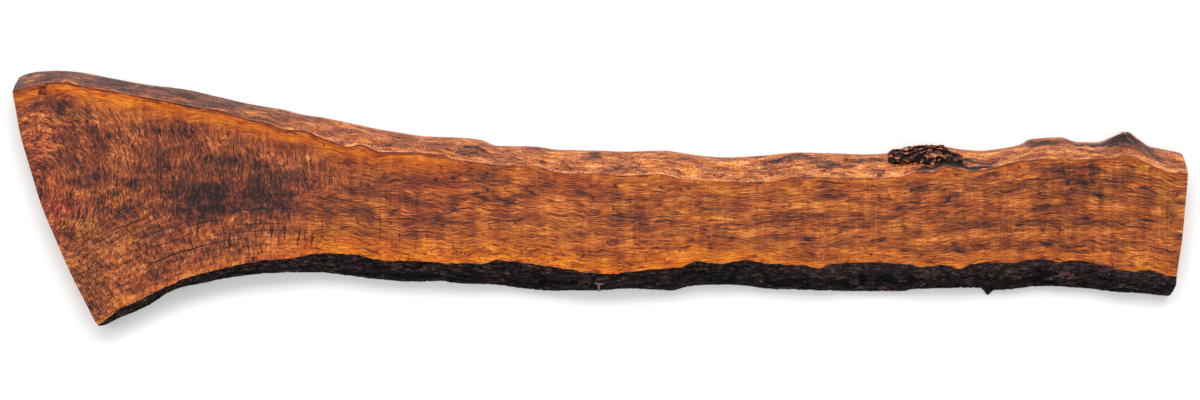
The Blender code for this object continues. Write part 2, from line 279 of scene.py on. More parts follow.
def scrap_plates(x, w):
    """Long plates of the scrap, lapped like shingles, with deep furrows between them."""
    row = w * RIM_ARC / 16.0 + 1.5 * noise(x / 46, w * 2.2, 23) + 0.35 * noise(x / 11, w * 6, 24)
    lap = row - np.floor(row)
    break_at = x / 58 + 0.37 * np.floor(row) + 0.5 * noise(x / 16, w * 9, 25)
    length = break_at - np.floor(break_at)
    level = noise(np.floor(break_at) + 0.5, np.floor(row) + 0.5, 26)
    unbroken = np.maximum(rise(length, 0.0, 0.1) * rise(length, 1.0, 0.92), rise(level, 0.1, 0.5))
    gap = rise(lap, 0.0, 0.24) * rise(lap, 1.0, 0.86) * unbroken
    return 5.0 * (gap - 0.75) + 2.4 * (lap - 0.5) + 1.8 * level + 0.7 * noise(x / 4, w * 20, 27)


def strip_width(x):
    return wood_line(x) - bark_foot(x)


def bare_edge(x, w):
    return bare_foot(x) + (top_arris(x) - bare_foot(x)) * w**BULGE + bare_relief(x, w)


def seat_edge(x, w):
    foot = bark_foot(x) + np.clip(BARK_FOOT_SHARE * strip_width(x), BARK_THINNEST, BARK_FOOT_MOST)
    nicks = 1.3 * noise(x / 17, 0.0, 7) + 0.9 * noise(x / 7, 0.0, 8)
    return foot + (wood_line(x) - foot) * w**BULGE + nicks * w**6


def bark_outside(x, w):
    top = wood_line(x) - np.clip(BARK_TOP_SHARE * strip_width(x), BARK_THINNEST, BARK_TOP_MOST)
    return bark_foot(x) + (top - bark_foot(x)) * w**BULGE - bark_relief(x, w) - fine_bark(x, w)


def on_edge(edge, share, w):
    """Follow an edge at height w to a station, which leans as the two sawn ends do."""
    y = np.zeros(np.broadcast(share, w).shape)
    x = y
    for _ in range(LEAN_ROUNDS):
        x = (1 - share) * left_end(y) + share * right_end(y)
        y = 0.5 * (y + edge(x, w))
    return np.stack([x, y, THICKNESS * w + 0 * x], axis=-1)


def between(low, high, shares, station):
    """Points on the straight line across the slab, bent to the station."""
    y = low[..., None, 1] * (1 - shares) + high[..., None, 1] * shares
    x = (1 - station) * left_end(y) + station * right_end(y)
    z = low[..., None, 2] * (1 - shares) + high[..., None, 2] * shares
    return np.stack([x, y, z], axis=-1)


class Shell:
    """A closed mesh drawn from sheets of points, with a material number for each sheet."""

    def __init__(self):
        self.parts = []
        self.count = 0
        self.faces = []
        self.looks = []

    def points(self, grid):
        flat = grid.reshape(-1, 3)
        index = np.arange(self.count, self.count + len(flat)).reshape(grid.shape[:-1])
        self.parts.append(flat)
        self.count += len(flat)
        return index

    def sheet(self, grid, look):
        quads = np.stack([grid[:-1, :-1], grid[1:, :-1], grid[1:, 1:], grid[:-1, 1:]], axis=-1)
        self.add(quads.reshape(-1, 4).tolist(), look)

    def add(self, faces, look):
        self.faces += faces
        self.looks += [look] * len(faces)

    def place(self):
        return np.concatenate(self.parts)

    def finish(self, name, materials, node):
        mesh = bpy.data.meshes.new(name)
        mesh.from_pydata(np.clip((self.place() - MIDDLE) * MM, *cad_box).tolist(), [], self.faces)
        for material in materials:
            mesh.materials.append(material)
        mesh.polygons.foreach_set("material_index", self.looks)
        whole = bmesh.new()
        whole.from_mesh(mesh)
        bmesh.ops.recalc_face_normals(whole, faces=whole.faces)
        whole.to_mesh(mesh)
        whole.free()
        mesh.shade_smooth()
        piece = bpy.data.objects.new(name, mesh)
        bpy.context.scene.collection.objects.link(piece)
        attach(piece, "root")
        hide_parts(node)
        return piece


def give(piece, name, columns):
    """Store three values a point on the mesh, for its materials to read."""
    layer = piece.data.attributes.new(name, "FLOAT_VECTOR", "POINT")
    values = np.stack(np.broadcast_arrays(*columns), axis=-1).astype(np.float32)
    layer.data.foreach_set("vector", values.reshape(-1))


# Where the face is darker or lighter, and redder (+) or more olive (-), than around:
# x, y, half length, half width, shade, warmth.
SHADES = [
    (-799, 16, 236, 108, -0.20, 0), (-816, -5, 50, 42, -0.3, 0), (-702, 16, 27, 46, -0.24, 0),
    (-702, 12, 83, 71, -0.06, 0), (-1059, 147, 10, 19, -0.2, 0), (-1046, 122, 12, 21, -0.2, 0),
    (-1036, 97, 10, 19, -0.16, 0), (-1158, 203, 25, 10, -0.2, 0), (-1125, 194, 21, 12, -0.14, 0),
    (-1084, 178, 37, 17, -0.08, -0.3), (-930, 149, 27, 17, -0.16, 0), (-980, 161, 25, 17, -0.08, 0),
    (-880, 195, 23, 6, -0.32, 0), (-1125, -19, 37, 29, 0.02, 1), (-1094, -1, 6, 25, -0.12, 0),
    (-1030, -88, 58, 27, 0.03, -0.5), (-1069, -59, 25, 21, 0.02, -0.5), (-955, -154, 62, 25, 0.04, 0),
    (-882, -123, 29, 12, -0.12, 0), (-758, -121, 27, 8, -0.08, 0), (-1053, -192, 12, 33, -0.14, -0.3),
    (-613, 68, 17, 46, -0.06, 0), (-407, 4, 23, 17, -0.07, 0), (-382, -46, 31, 17, -0.09, 0),
    (-324, 57, 19, 6, -0.12, 0), (0, -59, 50, 21, -0.07, 0), (-133, -67, 46, 10, -0.07, 0),
    (-229, 49, 17, 8, -0.14, 0), (-231, 16, 15, 8, -0.14, 0), (51, -30, 54, 25, -0.07, 0),
    (224, -77, 71, 12, -0.12, 0), (29, 26, 19, 6, -0.16, 0), (166, -26, 17, 6, -0.12, 0),
    (242, -13, 19, 8, -0.1, 0), (352, -23, 37, 5, -0.12, 0), (485, -5, 21, 10, -0.1, 0),
    (508, -57, 37, 8, -0.08, 0), (429, -90, 19, 6, -0.12, 0), (130, -26, 17, 17, 0.06, 0),
    (238, -32, 21, 8, 0.06, 0), (591, -3, 15, 5, -0.14, 0), (653, 4, 33, 10, -0.1, 0),
    (645, 30, 12, 6, -0.12, 0), (722, -40, 37, 12, -0.07, 0), (699, -77, 21, 8, -0.1, 0),
    (798, -34, 125, 37, -0.05, 0), (850, 47, 29, 8, -0.14, 0), (966, 47, 54, 12, -0.12, 0),
    (1022, 18, 10, 37, -0.14, 0), (937, -40, 19, 12, -0.12, 0), (937, -96, 10, 6, -0.16, 0),
    (780, -96, 15, 5, -0.12, 0), (504, -82, 8, 6, -0.14, 0), (1176, -7, 33, 29, -0.02, -0.6),
    (1159, 55, 8, 8, -0.3, 0), (1110, -123, 25, 25, 0.08, 0), (1062, 16, 37, 62, 0.04, -0.2),
    (1047, -88, 29, 12, -0.06, 0), (-1162, 78, 37, 62, 0.04, 0.4), (-914, 37, 29, 50, -0.04, 0),
    (-1130, 60, 60, 70, -0.14, 0), (-940, 80, 150, 60, -0.1, 0), (-1079, 217, 70, 14, -0.05, 0),
    (-990, -60, 80, 60, -0.03, 0), (-1195, 60, 22, 110, -0.09, 0.3), (-1030, -150, 70, 60, -0.05, 0),
    (-420, 40, 100, 50, -0.06, 0), (985, 25, 60, 34, -0.16, 0), (1036, 12, 12, 40, -0.18, 0),
    (1000, 44, 60, 8, -0.16, 0), (930, 60, 50, 8, -0.14, 0), (1014, 60, 14, 14, -0.12, 0),
    (880, 62, 20, 30, 0.06, 0), (-780, 150, 60, 18, -0.03, 0), (-880, -60, 200, 110, -0.03, 0),
    (-350, -108, 110, 16, 0.06, 0), (180, -112, 90, 14, 0.06, 0), (250, -8, 300, 46, 0.08, 0),
    (1180, 0, 40, 80, 0.04, 0), (930, -105, 90, 16, -0.15, 0), (-934, 188, 110, 18, -0.08, 0),
    (-477, 42, 90, 30, -0.07, 0), (-633, 119, 60, 20, -0.06, 0), (1125, -25, 70, 50, 0.04, 0),
    (-166, -15, 80, 36, 0.04, 0), (-345, 30, 80, 60, -0.08, 0.3), (-60, 20, 110, 40, -0.05, 0.3),
    (-205, 60, 60, 24, -0.06, 0)]

# Patches of the bare edge, the same way, with the height as a share in place of y: x, w, half length,
# half height, shade, greyness.
RIM_SHADES = [
    (-11, 0.30, 12, 0.12, -0.10, 0.8), (37, 0.74, 17, 0.07, -0.12, 0.9),
    (-266, 0.48, 14, 0.05, -0.4, 0.3), (-252, 0.55, 14, 0.04, -0.4, 0.3),
    (-181, 0.74, 24, 0.025, -0.35, 0.2), (-123, 0.84, 22, 0.025, -0.3, 0.2),
    (-63, 0.82, 15, 0.025, -0.3, 0.2), (267, 0.46, 20, 0.07, 0.30, -0.5),
    (296, 0.39, 9, 0.05, 0.30, -0.5), (336, 0.56, 7, 0.04, 0.30, -0.5), (373, 0.39, 34, 0.08, -0.16, 0.8),
    (477, 0.64, 62, 0.07, -0.16, 0.8), (430, 0.36, 40, 0.07, -0.12, 0.7),
    (560, 0.41, 36, 0.08, -0.16, 0.7), (923, 0.38, 34, 0.12, -0.36, 1.2),
    (1094, 0.44, 50, 0.2, -0.46, 1.9), (1000, 0.36, 30, 0.05, -0.3, 0.8),
    (1016, 0.52, 34, 0.08, 0.20, -0.5), (1162, 0.30, 20, 0.10, -0.10, 0.4),
    (840, 0.45, 40, 0.07, 0.12, -0.4), (-872, 0.55, 60, 0.10, -0.06, 0.4),
    (-1038, 0.35, 50, 0.16, -0.12, 0.6), (-1180, 0.45, 22, 0.06, 0.25, -0.4),
    # The dark patches from x 686 to 800 high on the edge are painted shadow under the bark scrap, with some
    # real dark gouges among them.
    (-720, 0.62, 40, 0.08, 0.12, -0.4), (745, 0.80, 24, 0.10, -0.5, 0.9),
    (686, 0.90, 24, 0.07, -0.5, 0.9), (735, 0.94, 40, 0.06, -0.6, 1.1),
    (782, 0.92, 24, 0.045, -0.55, 1.0), (752, 0.62, 22, 0.08, -0.3, 0.8),
    (790, 0.72, 26, 0.04, -0.3, 0.7), (-330, 0.6, 110, 0.3, -0.08, 0), (-640, 0.5, 200, 0.4, -0.05, 0),
    (800, 0.94, 20, 0.03, -0.30, 0.4), (620, 0.5, 200, 0.6, 0.05, 0)]

# How deep the golden sapwood reaches in from each edge, and how strong it is, as (x, value).
GOLD_BARE_DEPTH = [(-1224, 24), (-1150, 24), (-1000, 38), (-700, 36), (-380, 40), (-250, 16), (1224, 14)]
GOLD_BARE = [(-1224, 0.8), (-1100, 1.0), (-400, 0.9), (-250, 0.35), (600, 0.3), (1224, 0.35)]
GOLD_BARK_DEPTH = [(-1050, 18), (-760, 18), (-600, 44), (200, 44), (330, 26), (1224, 28)]
GOLD_BARK = [(-1050, 0.5), (-800, 0.6), (-600, 0.9), (200, 0.95), (500, 0.55), (1224, 0.5)]

# The growth rings of the flare: the middle that they bend round and how flat they are, then the run of
# those along the bark, as their slope at each x and one point that they pass.
SWIRL = (-1183, 16, 0.75)
RING_SLOPES = [
    (-1240, 0.66), (-1100, 0.62), (-1010, 0.56), (-960, 0.48), (-910, 0.44), (-870, 0.34), (-835, 0.28),
    (-795, 0.20), (-768, 0.10), (-700, 0.04), (-600, 0.0)]
RING_START = (-964, -152)


def build_slab(materials):
    shell = Shell()
    length = right_end(0.0) - left_end(0.0)
    share = np.linspace(0, 1, SLAB_STATIONS + 1)
    share[1] = ARRIS / length
    share[-2] = 1 - ARRIS / length
    height = np.linspace(0, 1, EDGE_ROWS + 1)
    bare = on_edge(bare_edge, share[:, None], height[None, :])
    seat = on_edge(seat_edge, share[:, None], height[None, :])

    across = np.linspace(0, 1, FACE_COLUMNS + 1)
    top = between(seat[:, -1], bare[:, -1], across[None, :], share[:, None])
    inset = bare[:, -1, 1] - ARRIS
    top[:, -2, 1] = inset
    top[:, -2, 0] = (1 - share) * left_end(inset) + share * right_end(inset)
    top[:, -1, 2] -= ARRIS_DROP
    top[0, :, 2] = THICKNESS - ARRIS_DROP
    top[-1, :, 2] = THICKNESS - ARRIS_DROP
    bare[:, -1] = top[:, -1]
    seat[:, -1] = top[:, 0]
    step = FACE_COLUMNS // UNDER_COLUMNS
    under = between(seat[:, 0], bare[:, 0], across[None, ::step], share[:, None])

    face_index = shell.points(top)
    under_index = shell.points(under)
    bare_index = np.empty(bare.shape[:2], int)
    bare_index[:, 0] = under_index[:, -1]
    bare_index[:, -1] = face_index[:, -1]
    bare_index[:, 1:-1] = shell.points(bare[:, 1:-1])
    seat_index = np.empty(seat.shape[:2], int)
    seat_index[:, 0] = under_index[:, 0]
    seat_index[:, -1] = face_index[:, 0]
    seat_index[:, 1:-1] = shell.points(seat[:, 1:-1])

    shell.sheet(face_index, 0)
    shell.sheet(under_index[1:-1], 0)
    shell.sheet(bare_index, 1)
    shell.sheet(seat_index, 1)
    for station, inner in ((0, 1), (-1, -2)):
        end = between(seat[station], bare[station], across[None, :], share[station])
        index = np.empty(end.shape[:2], int)
        index[:, 0] = seat_index[station]
        index[:, -1] = bare_index[station]
        index[-1] = face_index[station]
        index[0, ::step] = under_index[station]
        index[1:-1, 1:-1] = shell.points(end[1:-1, 1:-1])
        for k in range(UNDER_COLUMNS):
            middle = shell.points(end[0, k * step + 1:(k + 1) * step])
            index[0, k * step + 1:(k + 1) * step] = middle
            beyond = [int(under_index[inner, k + 1]), int(under_index[inner, k])]
            shell.add([[int(i) for i in index[0, k * step:(k + 1) * step + 1]] + beyond], 0)
        shell.sheet(index, 2)

    piece = shell.finish("walnut_slab", materials, "slab")
    paint_slab(piece, shell.place())
    smooth = piece.modifiers.new("even_shading", "WEIGHTED_NORMAL")
    smooth.weight = 60


def patches(x, y, rows):
    """The sum of soft patches: how dark or light, and how far towards the second colour."""
    shade, colour = 0.0, 0.0
    for at_x, at_y, half_x, half_y, amount, tint in rows:
        mask = np.exp(-((x - at_x) / half_x) ** 2 - ((y - at_y) / half_y) ** 2)
        shade = shade + amount * mask
        colour = colour + tint * mask
    return shade, colour


def averaged(edge, x):
    """An edge's y at x, averaged over the grain window."""
    window = np.hanning(GRAIN_WINDOW)
    half = GRAIN_WINDOW // 2
    return np.interp(x, ALONG[half:-half], np.convolve(edge(ALONG), window / window.sum(), "valid"))


def squareness(edge, x):
    """What turns a distance along Y into one square to an edge."""
    return 1 / np.hypot(1, np.interp(x, ALONG, np.gradient(edge(ALONG))))


def round_swirl(x, y):
    """How far a point is from the middle of the flare's swirl, and how far round it."""
    at_x, at_y, flatness = SWIRL
    away = np.hypot(x - at_x, flatness * (y - at_y))
    return away, away * np.arctan2(flatness * (y - at_y), x - at_x) / flatness


def along_rings(x, y):
    """How far a point is along the rings by the bark, and how far above one of them."""
    slope = np.interp(ALONG, *np.array(RING_SLOPES).T)
    line = np.cumsum(slope)
    line += RING_START[1] - np.interp(RING_START[0], ALONG, line)
    depth = y - np.interp(x, ALONG, line)
    return x + np.interp(x, ALONG, slope) * depth, depth


def paint_slab(piece, place):
    """Lay out the figure of the wood: how the grain flows, where it is dark, golden, curly or ringed."""
    x, y, z = place.T
    w = np.clip(z / THICKNESS, 0, 1)
    low = averaged(wood_line, x)
    across = (y - low) / (averaged(top_arris, x) - low)
    to_bare = (bare_edge(x, w) - y) * squareness(top_arris, x)
    to_bark = (y - seat_edge(x, w)) * squareness(wood_line, x)

    streaky = x + 9 * noise(x / 14, y / 60, 51), y + 26 * noise(x / 10, y / 70, 52)
    shade, warmth = patches(*streaky, SHADES)
    ragged = x + 12 * noise(x / 11, w * 7, 53), w + 0.09 * noise(x / 15, w * 8, 54)
    rim_shade, rim_grey = patches(*ragged, RIM_SHADES)
    # Lighter along the knot's splinter, and darker in the knot's hole: painted shade in the hole.
    rim_shade = rim_shade + 0.55 * knot_splinter(x, w) - mound(x, w, KNOT_HOLE_DARK)
    gold = curve(GOLD_BARE)(x) * np.exp(-(to_bare / curve(GOLD_BARE_DEPTH)(x)) ** 2)
    gold += curve(GOLD_BARK)(x) * np.exp(-(to_bark / curve(GOLD_BARK_DEPTH)(x)) ** 2)
    inner = rise(to_bare, 14, 50) * rise(to_bark, 50, 120)
    reach = to_bark - 60 * rise(x, -880, -1000)
    curl = rise(x, -380, -640) * inner * rise(reach, 100, 150)
    rings = rise(x, -560, -700) * rise(reach, 180, 95)

    give(piece, "flow", (x, (across - 0.5) * GRAIN_SPAN, w))
    give(piece, "near", (to_bare, to_bark, shade))
    give(piece, "figure", (curl, np.clip(gold, 0, 1), rings))
    give(piece, "curl", (*round_swirl(x, y), warmth))
    give(piece, "ring", (*along_rings(x, y), x - left_end(y)))
    give(piece, "rim", (rim_shade, rim_grey, rise(x, -560, -820)))


def worn_down(x):
    return BARK_WORN * (1 + noise(x / 16, 0.0, 41))


def build_bark(material):
    shell = Shell()
    share = np.linspace(0, 1, BARK_STATIONS + 1)[:, None]
    height = np.linspace(0, 1, BARK_ROWS + 1)[None, :]
    outside = on_edge(bark_outside, share, height)
    inside = on_edge(lambda x, w: seat_edge(x, w) - SEAT_GAP, share, height[:, ::BARK_ROWS // 2])
    top_rows = np.linspace(0, 1, BARK_TOP_ROWS + 2)[1:-1]
    top = inside[:, -1:, :] * (1 - top_rows[None, :, None]) + outside[:, -1:, :] * top_rows[None, :, None]
    # How far the bark's top is worn down, in its shape.
    wear_and_highlight = worn_down(top[..., 0]) * rise(top_rows, 0.35, 1.0)[None, :]
    top[..., 2] -= wear_and_highlight + 0.7 * noise(top[..., 0] / 6, top[..., 1] / 4, 42) - 0.7
    top[..., 2] = np.minimum(top[..., 2], THICKNESS)
    outside[:, -1, 2] -= worn_down(outside[:, -1, 0])
    loop = np.concatenate([outside, top[:, ::-1], inside[:, ::-1]], axis=1)
    index = shell.points(loop)
    shell.sheet(np.concatenate([index, index[:, :1]], axis=1), 0)
    shell.add([index[0].tolist(), index[-1].tolist()], 0)
    piece = shell.finish("bark_edge_skin", [material], "bark_edge")
    x, _, z = shell.place().T
    w = np.clip(z / THICKNESS, 0, 1)
    give(piece, "flow", (x, w * RIM_ARC, rise(x, 330, 430)))
    give(piece, "relief", (np.minimum(bark_relief(x, w), 1.2), fine_bark(x, w), splinter(x, w)))


def build_scrap(material):
    """The scrap of bark, laid on the bare edge."""
    x, w = np.meshgrid(SCRAP_COLUMNS, SCRAP_ROWS, indexing="ij")
    ragged = 0.05 * noise(x / 11, w * 9, 31) + 0.03 * noise(x / 4, w * 20, 32)
    inside = np.minimum(w + ragged - scrap_low(x), scrap_high(x) - w - ragged) * RIM_ARC
    left, right = SCRAP_ENDS
    inside = np.minimum(inside, np.minimum(x + 60 * ragged - left, right - x + 60 * ragged))
    round_off = np.sqrt(np.clip(inside / SCRAP_ROUND, 0, 1))
    plates = scrap_plates(x, w)
    thick = np.maximum(scrap_thick(x) + 0.4 * scrap_relief(x, w) + plates, 0.2 * scrap_thick(x))
    ground = np.stack([x, bare_edge(x, w), THICKNESS * w], axis=-1)
    way = np.array(OUTWARD)
    over = ground + (thick * round_off)[..., None] * way
    under = ground - SCRAP_SUNK * way
    cell = inside > SCRAP_TRIM
    covered = cell[:-1, :-1] & cell[1:, :-1] & cell[:-1, 1:] & cell[1:, 1:]

    used = np.zeros(x.shape, bool)
    for di in (0, 1):
        for dj in (0, 1):
            used[di:di + covered.shape[0], dj:dj + covered.shape[1]] |= covered
    shell = Shell()
    low = np.full(x.shape, -1)
    high = np.full(x.shape, -1)
    low[used] = shell.points(under[used])
    high[used] = shell.points(over[used])
    i, j = np.nonzero(covered)
    corners = [(i, j), (i + 1, j), (i + 1, j + 1), (i, j + 1)]
    shell.add(np.stack([high[c] for c in corners], axis=-1).tolist(), 0)
    shell.add(np.stack([low[c] for c in corners[::-1]], axis=-1).tolist(), 0)
    padded = np.pad(covered, 1)
    sides = [padded[i + 1, j], padded[i + 2, j + 1], padded[i + 1, j + 2], padded[i, j + 1]]
    for k, side in enumerate(sides):
        bare = ~side
        a = [c[bare] for c in corners[k]]
        b = [c[bare] for c in corners[(k + 1) % 4]]
        wall = [low[tuple(a)], low[tuple(b)], high[tuple(b)], high[tuple(a)]]
        shell.add(np.stack(wall, axis=-1).tolist(), 0)
    piece = shell.finish("bark_scrap_skin", [material], "bark_scrap")
    give(piece, "relief", (np.tile(plates[used], 2), 0.0, 0.0))


def linear(red, green, blue):
    """Turn a colour as seen, 0 to 255, into the linear colour that a material takes."""
    shares = [c / 255 for c in (red, green, blue)]
    return [c / 12.92 if c <= 0.04045 else ((c + 0.055) / 1.055) ** 2.4 for c in shares] + [1.0]


class Graph:
    """Shorthand for building a material's nodes."""

    def __init__(self, name):
        self.material = bpy.data.materials.new(name)
        self.material.use_nodes = True
        self.tree = self.material.node_tree
        self.shader = self.tree.nodes["Principled BSDF"]

    def node(self, kind, *inputs, **settings):
        node = self.tree.nodes.new(kind)
        for name, value in settings.items():
            setattr(node, name, value)
        for socket, value in zip(node.inputs, inputs):
            self.feed(socket, value)
        return node

    def feed(self, socket, value):
        if isinstance(value, bpy.types.NodeSocket):
            self.tree.links.new(value, socket)
        else:
            socket.default_value = value

    def math(self, operation, a, b):
        return self.node("ShaderNodeMath", a, b, operation=operation).outputs[0]

    def fold(self, operation, terms):
        total = terms[0]
        for term in terms[1:]:
            total = self.math(operation, total, term)
        return total

    def add(self, *terms):
        """The sum of the terms, where a tuple stands for the product of its parts."""
        return self.fold("ADD", [self.times(*term) if isinstance(term, tuple) else term for term in terms])

    def times(self, *factors):
        return self.fold("MULTIPLY", factors)

    def vector(self, operation, a, b):
        return self.node("ShaderNodeVectorMath", a, b, operation=operation).outputs[0]

    def read(self, name):
        """A stored vector and its three parts."""
        whole = self.node("ShaderNodeAttribute", attribute_name=name).outputs["Vector"]
        return whole, *self.split(whole)

    def split(self, whole):
        return tuple(self.node("ShaderNodeSeparateXYZ", whole).outputs)

    def join(self, x, y, z=0.0):
        return self.node("ShaderNodeCombineXYZ", x, y, z).outputs[0]

    def place(self):
        """Where a point is, in millimetres."""
        spot = self.node("ShaderNodeTexCoord").outputs["Object"]
        return self.vector("MULTIPLY", spot, (1000.0, 1000.0, 1000.0))

    def noise_texture(self, at, cells, detail, rough, shift, flat):
        """A noise texture whose cells have the given lengths, in millimetres, along the vector's parts."""
        scaled = self.vector("MULTIPLY_ADD", at, tuple(1 / c for c in (*cells, 1.0)[:3]))
        scaled.node.inputs[2].default_value = (shift, 1.7 * shift, 0.6 * shift)
        node = self.node("ShaderNodeTexNoise", scaled, noise_dimensions="2D" if flat else "3D")
        node.inputs["Scale"].default_value = 1.0
        node.inputs["Detail"].default_value = detail
        node.inputs["Roughness"].default_value = rough
        return node

    def noise(self, at, cells, detail, rough=0.5, shift=0.0, flat=True):
        """Noise about 0."""
        level = self.noise_texture(at, cells, detail, rough, shift, flat).outputs[0]
        return self.math("SUBTRACT", level, 0.5)

    def wander(self, at, cells, detail, shift):
        """Three noises about 0 in one vector, to bend other patterns with."""
        colour = self.noise_texture(at, cells, detail, 0.5, shift, True).outputs["Color"]
        return self.vector("SUBTRACT", colour, (0.5, 0.5, 0.5))

    def bend(self, at, wander, along, across):
        """Move a place by a wander, times an amount each way."""
        return self.vector("ADD", at, self.vector("MULTIPLY", wander, (along, across, 0.0)))

    def length(self, way):
        return self.node("ShaderNodeVectorMath", way, operation="LENGTH").outputs[1]

    def line(self, phase, half_width):
        """1 on thin lines where the phase passes a whole number, 0 between them."""
        return self.step(self.math("PINGPONG", phase, 0.5), half_width, 0.0)

    def cells(self, at, size):
        """How far a point is from the edge of its cell, in a net of uneven cells."""
        scaled = self.vector("MULTIPLY", at, (1 / size[0], 1 / size[1], 0.0))
        node = self.node("ShaderNodeTexVoronoi", scaled, voronoi_dimensions="2D", feature="DISTANCE_TO_EDGE")
        node.inputs["Scale"].default_value = 1.0
        return node.outputs["Distance"]

    def step(self, value, low, high, out_low=0.0, out_high=1.0):
        """A smooth step from out_low, where value is low, to out_high, where it is high."""
        node = self.node("ShaderNodeMapRange", value, low, high, out_low, out_high,
                         interpolation_type="SMOOTHSTEP")
        return node.outputs[0]

    def ramp(self, value, stops):
        node = self.node("ShaderNodeValToRGB", value)
        bar = node.color_ramp.elements
        for k, (at, colour) in enumerate(stops):
            stop = bar[k] if k < 2 else bar.new(at)
            stop.position = at
            stop.color = linear(*colour)
        return node.outputs[0]

    def mix(self, share, a, b):
        node = self.node("ShaderNodeMix", data_type="RGBA")
        self.feed(node.inputs[0], share)
        self.feed(node.inputs[6], a)
        self.feed(node.inputs[7], b)
        return node.outputs[2]

    def mark(self, at, x, y, half_x, half_y, turn, amount):
        """A soft oval mark of the given amount, turned by an angle in degrees."""
        local = self.node("ShaderNodeMapping", at, (x, y, 0.0), (0.0, 0.0, math.radians(turn)),
                          (half_x, half_y, 1e6), vector_type="TEXTURE")
        return self.step(self.length(local.outputs[0]), 0.35, 1.0, amount, 0.0)

    def marks(self, at, rows):
        return self.fold("MAXIMUM", [self.mark(at, *row) for row in rows])

    def bump(self, height, distance):
        node = self.node("ShaderNodeBump")
        self.feed(node.inputs["Distance"], distance)
        self.feed(node.inputs["Height"], height)
        return node.outputs[0]

    def set(self, **values):
        for name, value in values.items():
            self.feed(self.shader.inputs[name.replace("_", " ")], value)


BROWNS = [(0.0, (30, 18, 20)), (0.2, (70, 36, 30)), (0.4, (106, 50, 26)), (0.55, (138, 67, 24)),
          (0.7, (168, 87, 29)), (0.85, (196, 111, 42)), (1.0, (224, 146, 70))]
GOLDS = [(0.0, (58, 20, 10)), (0.25, (124, 46, 10)), (0.5, (186, 89, 12)), (0.75, (222, 128, 28)),
         (1.0, (240, 160, 66))]

# Small eyes, insect holes, checks and lines in the face: x, y, half length, half width, turn, amount.
MARKS = [
    (-235, 51, 7, 3.4, 20, 0.55), (-258, 8, 12, 3, 5, 0.55), (-233, 16, 5, 4, 0, 0.6),
    (31, 24, 6, 7, 30, 0.4), (168, 16, 6, 5, 0, 0.35), (325, 16, 5, 4, 0, 0.3), (645, 16, 7, 4, 10, 0.3),
    (738, 47, 6, 5, 0, 0.35), (869, 64, 5, 5, 0, 0.4), (925, -96, 16, 6, -15, 0.4),
    (-992, -25, 19, 2.2, 32, 0.5), (-304, -117, 2.6, 2.4, 0, 0.6), (-296, -118, 2.4, 2.4, 0, 0.6),
    (-289, -116, 2.4, 2.4, 0, 0.6), (-281, -117, 2.6, 2.2, 0, 0.6), (-274, -118, 2.2, 2.2, 0, 0.6),
    (-267, -117, 2.4, 2.4, 0, 0.6), (-836, -70, 32, 2.2, 90, 0.45), (-769, -82, 26, 2.6, 83, 0.5),
    (-681, -68, 21, 2.6, 84, 0.45), (-645, -44, 15, 2.6, 95, 0.4), (-635, -36, 15, 2.2, 90, 0.35),
    (-655, -75, 25, 2.2, 85, 0.35), (-625, -80, 26, 2.4, 76, 0.45), (-667, -84, 13, 2.0, 90, 0.3),
    (-613, -76, 21, 2.0, 87, 0.3), (-598, -87, 27, 2.4, 80, 0.4), (-577, -55, 15, 2.2, 90, 0.35),
    (-457, -58, 62, 1.8, 90, 0.22), (-416, -80, 17, 2.0, 88, 0.3), (-573, 110, 8, 2.0, 80, 0.35),
    (591, -2, 26, 1.8, -8, 0.4), (1047, -84, 36, 2.0, -28, 0.35), (246, -80, 84, 2.4, -7, 0.3),
    (200, -62, 60, 2.0, -9, 0.3), (352, -23, 40, 2.0, -5, 0.35), (508, -60, 44, 2.0, -2, 0.3),
    (440, -118, 36, 2.2, -30, 0.3), (456, 0, 28, 1.6, 90, -0.16)]

# Cracks that run with the rings along the bark, the same way, with the height above the ring line as y.
RING_MARKS = [
    (-866, 0, 108, 2.4, 0, 0.55), (-991, 107, 70, 2.0, -6, 0.45), (-1000, 86, 52, 2.0, 10, 0.4),
    (-1078, 116, 30, 1.8, 8, 0.35), (-900, 60, 60, 1.6, -4, 0.3), (-940, 30, 60, 1.6, 3, 0.3)]


def straight_grain(g, grain):
    """Streaks, fibres, pores and year lines along the grain; the streaks and fibres come alone as well."""
    streaks = g.step(g.noise(grain, (54, 6.0), 4, 0.62, shift=13), -0.17, 0.17, -0.5, 0.5)
    fibres = g.math("MINIMUM", g.noise(grain, (64, 2.5), 3, 0.62, shift=17), 0.07)
    year = g.add((g.split(grain)[1], 1 / 15.0), (g.noise(grain, (170, 42), 2, shift=14), 6.0))
    year_lines = g.times(g.line(year, 0.13), g.step(g.noise(grain, (70, 20), 3, shift=19), -0.16, 0.0))
    dark_dashes = g.step(g.noise(grain, (84, 3.3), 3, 0.6, shift=20), 0.08, 0.14)
    pores = g.noise(grain, (26, 1.7), 2, 0.6, shift=22)
    return g.add((streaks, 0.08), (fibres, 0.85), (pores, 1.3), (year_lines, -0.34),
                 (dark_dashes, -0.24)), streaks, fibres


def curly_grain(g, curls):
    """Flecks, dashes and crinkles across the curl; the dashes and crinkles come alone as well."""
    flecks = g.step(g.noise(curls, (8.5, 36), 3, 0.55, shift=23), -0.13, 0.15, -0.5, 0.5)
    dashes = g.noise(curls, (3.8, 14), 3, 0.7, shift=29)
    gaps = g.step(g.noise(curls, (5.0, 34), 3, 0.5, shift=27), 0.07, 0.14)
    crinkles = g.noise(curls, (2.4, 10), 3, 0.75, shift=24)
    return g.add((flecks, 0.2), (dashes, 0.85), (crinkles, 1.4), (gaps, -0.28)), dashes, crinkles


